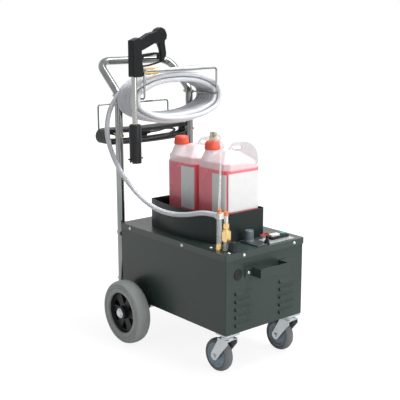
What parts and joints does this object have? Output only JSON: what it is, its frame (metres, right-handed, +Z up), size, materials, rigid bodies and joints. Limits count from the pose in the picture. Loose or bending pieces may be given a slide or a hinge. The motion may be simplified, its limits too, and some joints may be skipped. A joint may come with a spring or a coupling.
{
  "type": "wheeled foam sprayer cart",
  "caption": "Cart with a sheet steel pump housing on wheels and casters, tube handle, hose and cable on hooks, tray with chemical cans and a foam gun.",
  "frame": {"origin": "on the ground under the middle of the cart without its cords", "axes": "+Z up, the front with the strap handle faces -Y, the push handle is at +Y, +X to the right when looking along +Y"},
  "size_m": [0.4676, 0.686, 0.972],
  "materials": {
    "body_paint": "satin dark grey-green powder coat",
    "tray_paint": "satin dark grey-green",
    "chrome_tube": "bright chrome plating",
    "zinc": "bright zinc plating",
    "black_plastic": "moulded",
    "wheel_tyre": "grey non-marking rubber",
    "wheel_rim": "moulded",
    "caster_tyre": "grey rubber",
    "caster_rim": "blue-grey moulding",
    "can_plastic": "translucent natural polyethylene",
    "liquid": "pink-red liquid",
    "cap_plastic": "ribbed orange-red",
    "brass": "turned",
    "white_plastic": "moulded",
    "orange_plastic": "moulded",
    "clear_tube": "clear",
    "grey_plastic": "moulded",
    "light_plate": "plain",
    "red_plastic": "dipped",
    "green_plastic": "moulded",
    "hose": "translucent hose",
    "cable": "black flexible cable",
    "motor_paint": "painted casting",
    "pump_metal": "casting",
    "fan_plastic": "moulded"
  },
  "bodies": {
    "cart": {"housing": "body_paint", "lid": "body_paint", "panel_screws": "zinc", "wall_fittings": "black_plastic", "strap_handle": "body_paint", "handle_frame": "chrome_tube", "tube_bushes": "black_plastic", "frame_fasteners": "brass", "hooks": "chrome_tube", "rear_axle": "zinc", "axle_brackets": "body_paint", "caster_plates": "zinc", "tray": "tray_paint", "can_2_body": "can_plastic", "can_2_liquid": "liquid", "can_2_cap": "cap_plastic", "suction_fitting": "brass", "gun_body": "black_plastic", "lance": "chrome_tube", "gun_inlet": "brass", "brass_fittings": "brass", "meter_tube": "clear_tube", "white_fittings": "white_plastic", "push_in_rings": "orange_plastic", "control_plates": "light_plate", "lid_valves": "black_plastic", "switch_block": "black_plastic", "motor_base": "body_paint", "motor": "motor_paint", "pump_head": "pump_metal", "inner_lines": "cable", "hose_coil": "hose", "hose_tail": "hose", "hose_run": "hose", "suction_tube": "hose", "cable_coil": "cable", "cable_tail": "cable", "cable_lead": "cable", "mains_plug": "cable"},
    "left_wheel": {"tyre_left": "wheel_tyre", "rim_left": "wheel_rim"},
    "right_wheel": {"tyre_right": "wheel_tyre", "rim_right": "wheel_rim"},
    "left_swivel": {"caster_fork_left": "zinc"},
    "right_swivel": {"caster_fork_right": "zinc"},
    "left_caster_wheel": {"caster_rim_left": "caster_rim", "caster_tyre_left": "caster_tyre"},
    "right_caster_wheel": {"caster_rim_right": "caster_rim", "caster_tyre_right": "caster_tyre"},
    "trigger_lever": {"trigger": "black_plastic"},
    "foam_nozzle": {"nozzle": "black_plastic"},
    "dosing_knob": {"grey_knob": "grey_plastic"},
    "air_knob": {"black_knob": "black_plastic"},
    "valve_lever": {"red_lever": "red_plastic"},
    "start_button": {"white_button": "white_plastic"},
    "stop_button": {"green_button": "green_plastic"},
    "rear_can": {"can_1_body": "can_plastic", "can_1_liquid": "liquid"},
    "rear_can_cap": {"can_1_cap": "cap_plastic"},
    "fan": {"motor_fan": "fan_plastic"}
  },
  "joints": [
    {"name": "left_wheel_spin", "type": "hinge", "parent": "cart", "child": "left_wheel", "pos_m": [-0.201, 0.11, 0.1], "axis": [1, 0, 0], "continuous": true},
    {"name": "left_caster_swivel", "type": "hinge", "parent": "cart", "child": "left_swivel", "pos_m": [-0.124, -0.277, 0.11], "axis": [0, 0, 1], "continuous": true},
    {"name": "left_caster_spin", "type": "hinge", "parent": "left_swivel", "child": "left_caster_wheel", "pos_m": [-0.124, -0.241, 0.049], "axis": [1, 0, 0], "continuous": true},
    {"name": "right_wheel_spin", "type": "hinge", "parent": "cart", "child": "right_wheel", "pos_m": [0.201, 0.11, 0.1], "axis": [1, 0, 0], "continuous": true},
    {"name": "right_caster_swivel", "type": "hinge", "parent": "cart", "child": "right_swivel", "pos_m": [0.124, -0.277, 0.11], "axis": [0, 0, 1], "continuous": true},
    {"name": "right_caster_spin", "type": "hinge", "parent": "right_swivel", "child": "right_caster_wheel", "pos_m": [0.124, -0.241, 0.049], "axis": [1, 0, 0], "continuous": true},
    {"name": "trigger_squeeze", "type": "hinge", "parent": "cart", "child": "trigger_lever", "pos_m": [-0.163, 0.0775, 0.886], "axis": [0, -1, 0], "range_deg": [0, 13], "stiffness_Nm_per_rad": 0.4, "springref_deg": -14.32},
    {"name": "nozzle_turn", "type": "hinge", "parent": "cart", "child": "foam_nozzle", "pos_m": [-0.181, 0.0755, 0.66], "axis": [0, 0, 1], "range_deg": [-90, 90]},
    {"name": "dosing_turn", "type": "hinge", "parent": "cart", "child": "dosing_knob", "pos_m": [-0.013, -0.244, 0.375], "axis": [0, 0, 1], "range_deg": [-135, 135]},
    {"name": "air_turn", "type": "hinge", "parent": "cart", "child": "air_knob", "pos_m": [-0.113, -0.283, 0.372], "axis": [0, 0, 1], "range_deg": [-135, 135]},
    {"name": "valve_turn", "type": "hinge", "parent": "cart", "child": "valve_lever", "pos_m": [0.015, -0.289, 0.394], "axis": [0, 0, -1], "range_deg": [0, 90]},
    {"name": "start_press", "type": "slide", "parent": "cart", "child": "start_button", "axis": [0, 0, -1], "range_m": [0, 0.003], "stiffness_N_per_m": 300, "springref_m": -0.002},
    {"name": "stop_press", "type": "slide", "parent": "cart", "child": "stop_button", "axis": [0, 0, -1], "range_m": [0, 0.003], "stiffness_N_per_m": 300, "springref_m": -0.002},
    {"name": "rear_can_lift", "type": "slide", "parent": "cart", "child": "rear_can", "axis": [0, 0, 1], "range_m": [0, 0.12]},
    {"name": "rear_can_unscrew", "type": "hinge", "parent": "rear_can", "child": "rear_can_cap", "pos_m": [-0.032, 0.041, 0.635], "axis": [0, 0, 1], "continuous": true},
    {"name": "fan_spin", "type": "hinge", "parent": "cart", "child": "fan", "pos_m": [0, 0.109, 0.2175], "axis": [0, 1, 0], "continuous": true}
  ]
}
